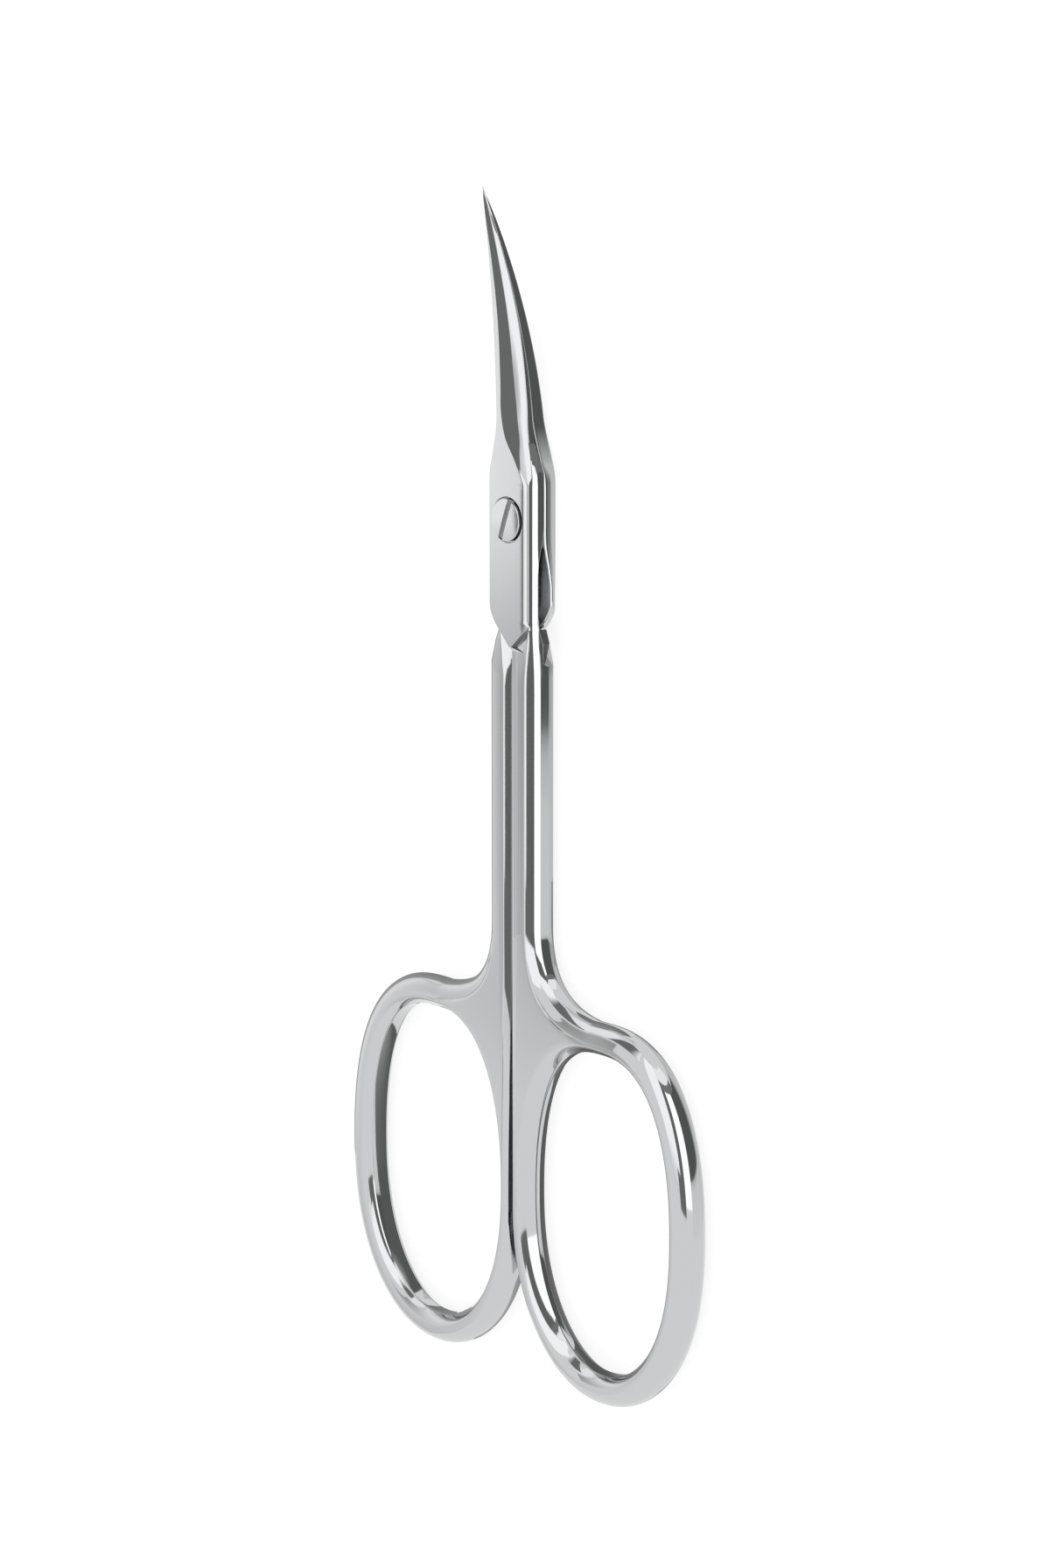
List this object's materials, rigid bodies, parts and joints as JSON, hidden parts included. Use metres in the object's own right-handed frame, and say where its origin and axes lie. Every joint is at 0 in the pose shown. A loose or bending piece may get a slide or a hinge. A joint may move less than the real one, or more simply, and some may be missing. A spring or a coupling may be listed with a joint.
{
  "type": "nail scissors",
  "caption": "Nail scissors with short curved pointed blades, slim straight shanks and oval finger rings, opening on a slotted pivot screw.",
  "frame": {"origin": "where the pivot's axis meets the flat back face that the scissors lie on", "axes": "+Y from the pivot to the blade tips, +Z out of the face that shows the screw's head, along the pivot's axis, +X to the side of the front half's finger ring"},
  "size_m": [0.0392, 0.0886, 0.0051],
  "materials": {
    "forged_steel": "polished, with fine satin faces",
    "screw_steel": "polished"
  },
  "bodies": {
    "rear": {"rear_half": "forged_steel", "pivot_screw": "screw_steel"},
    "front": {"front_half": "forged_steel"}
  },
  "joints": [
    {"name": "pivot", "type": "hinge", "parent": "rear", "child": "front", "pos_m": [0, 0, 0.00145], "axis": [0, 0, 1], "range_deg": [0, 90]}
  ]
}
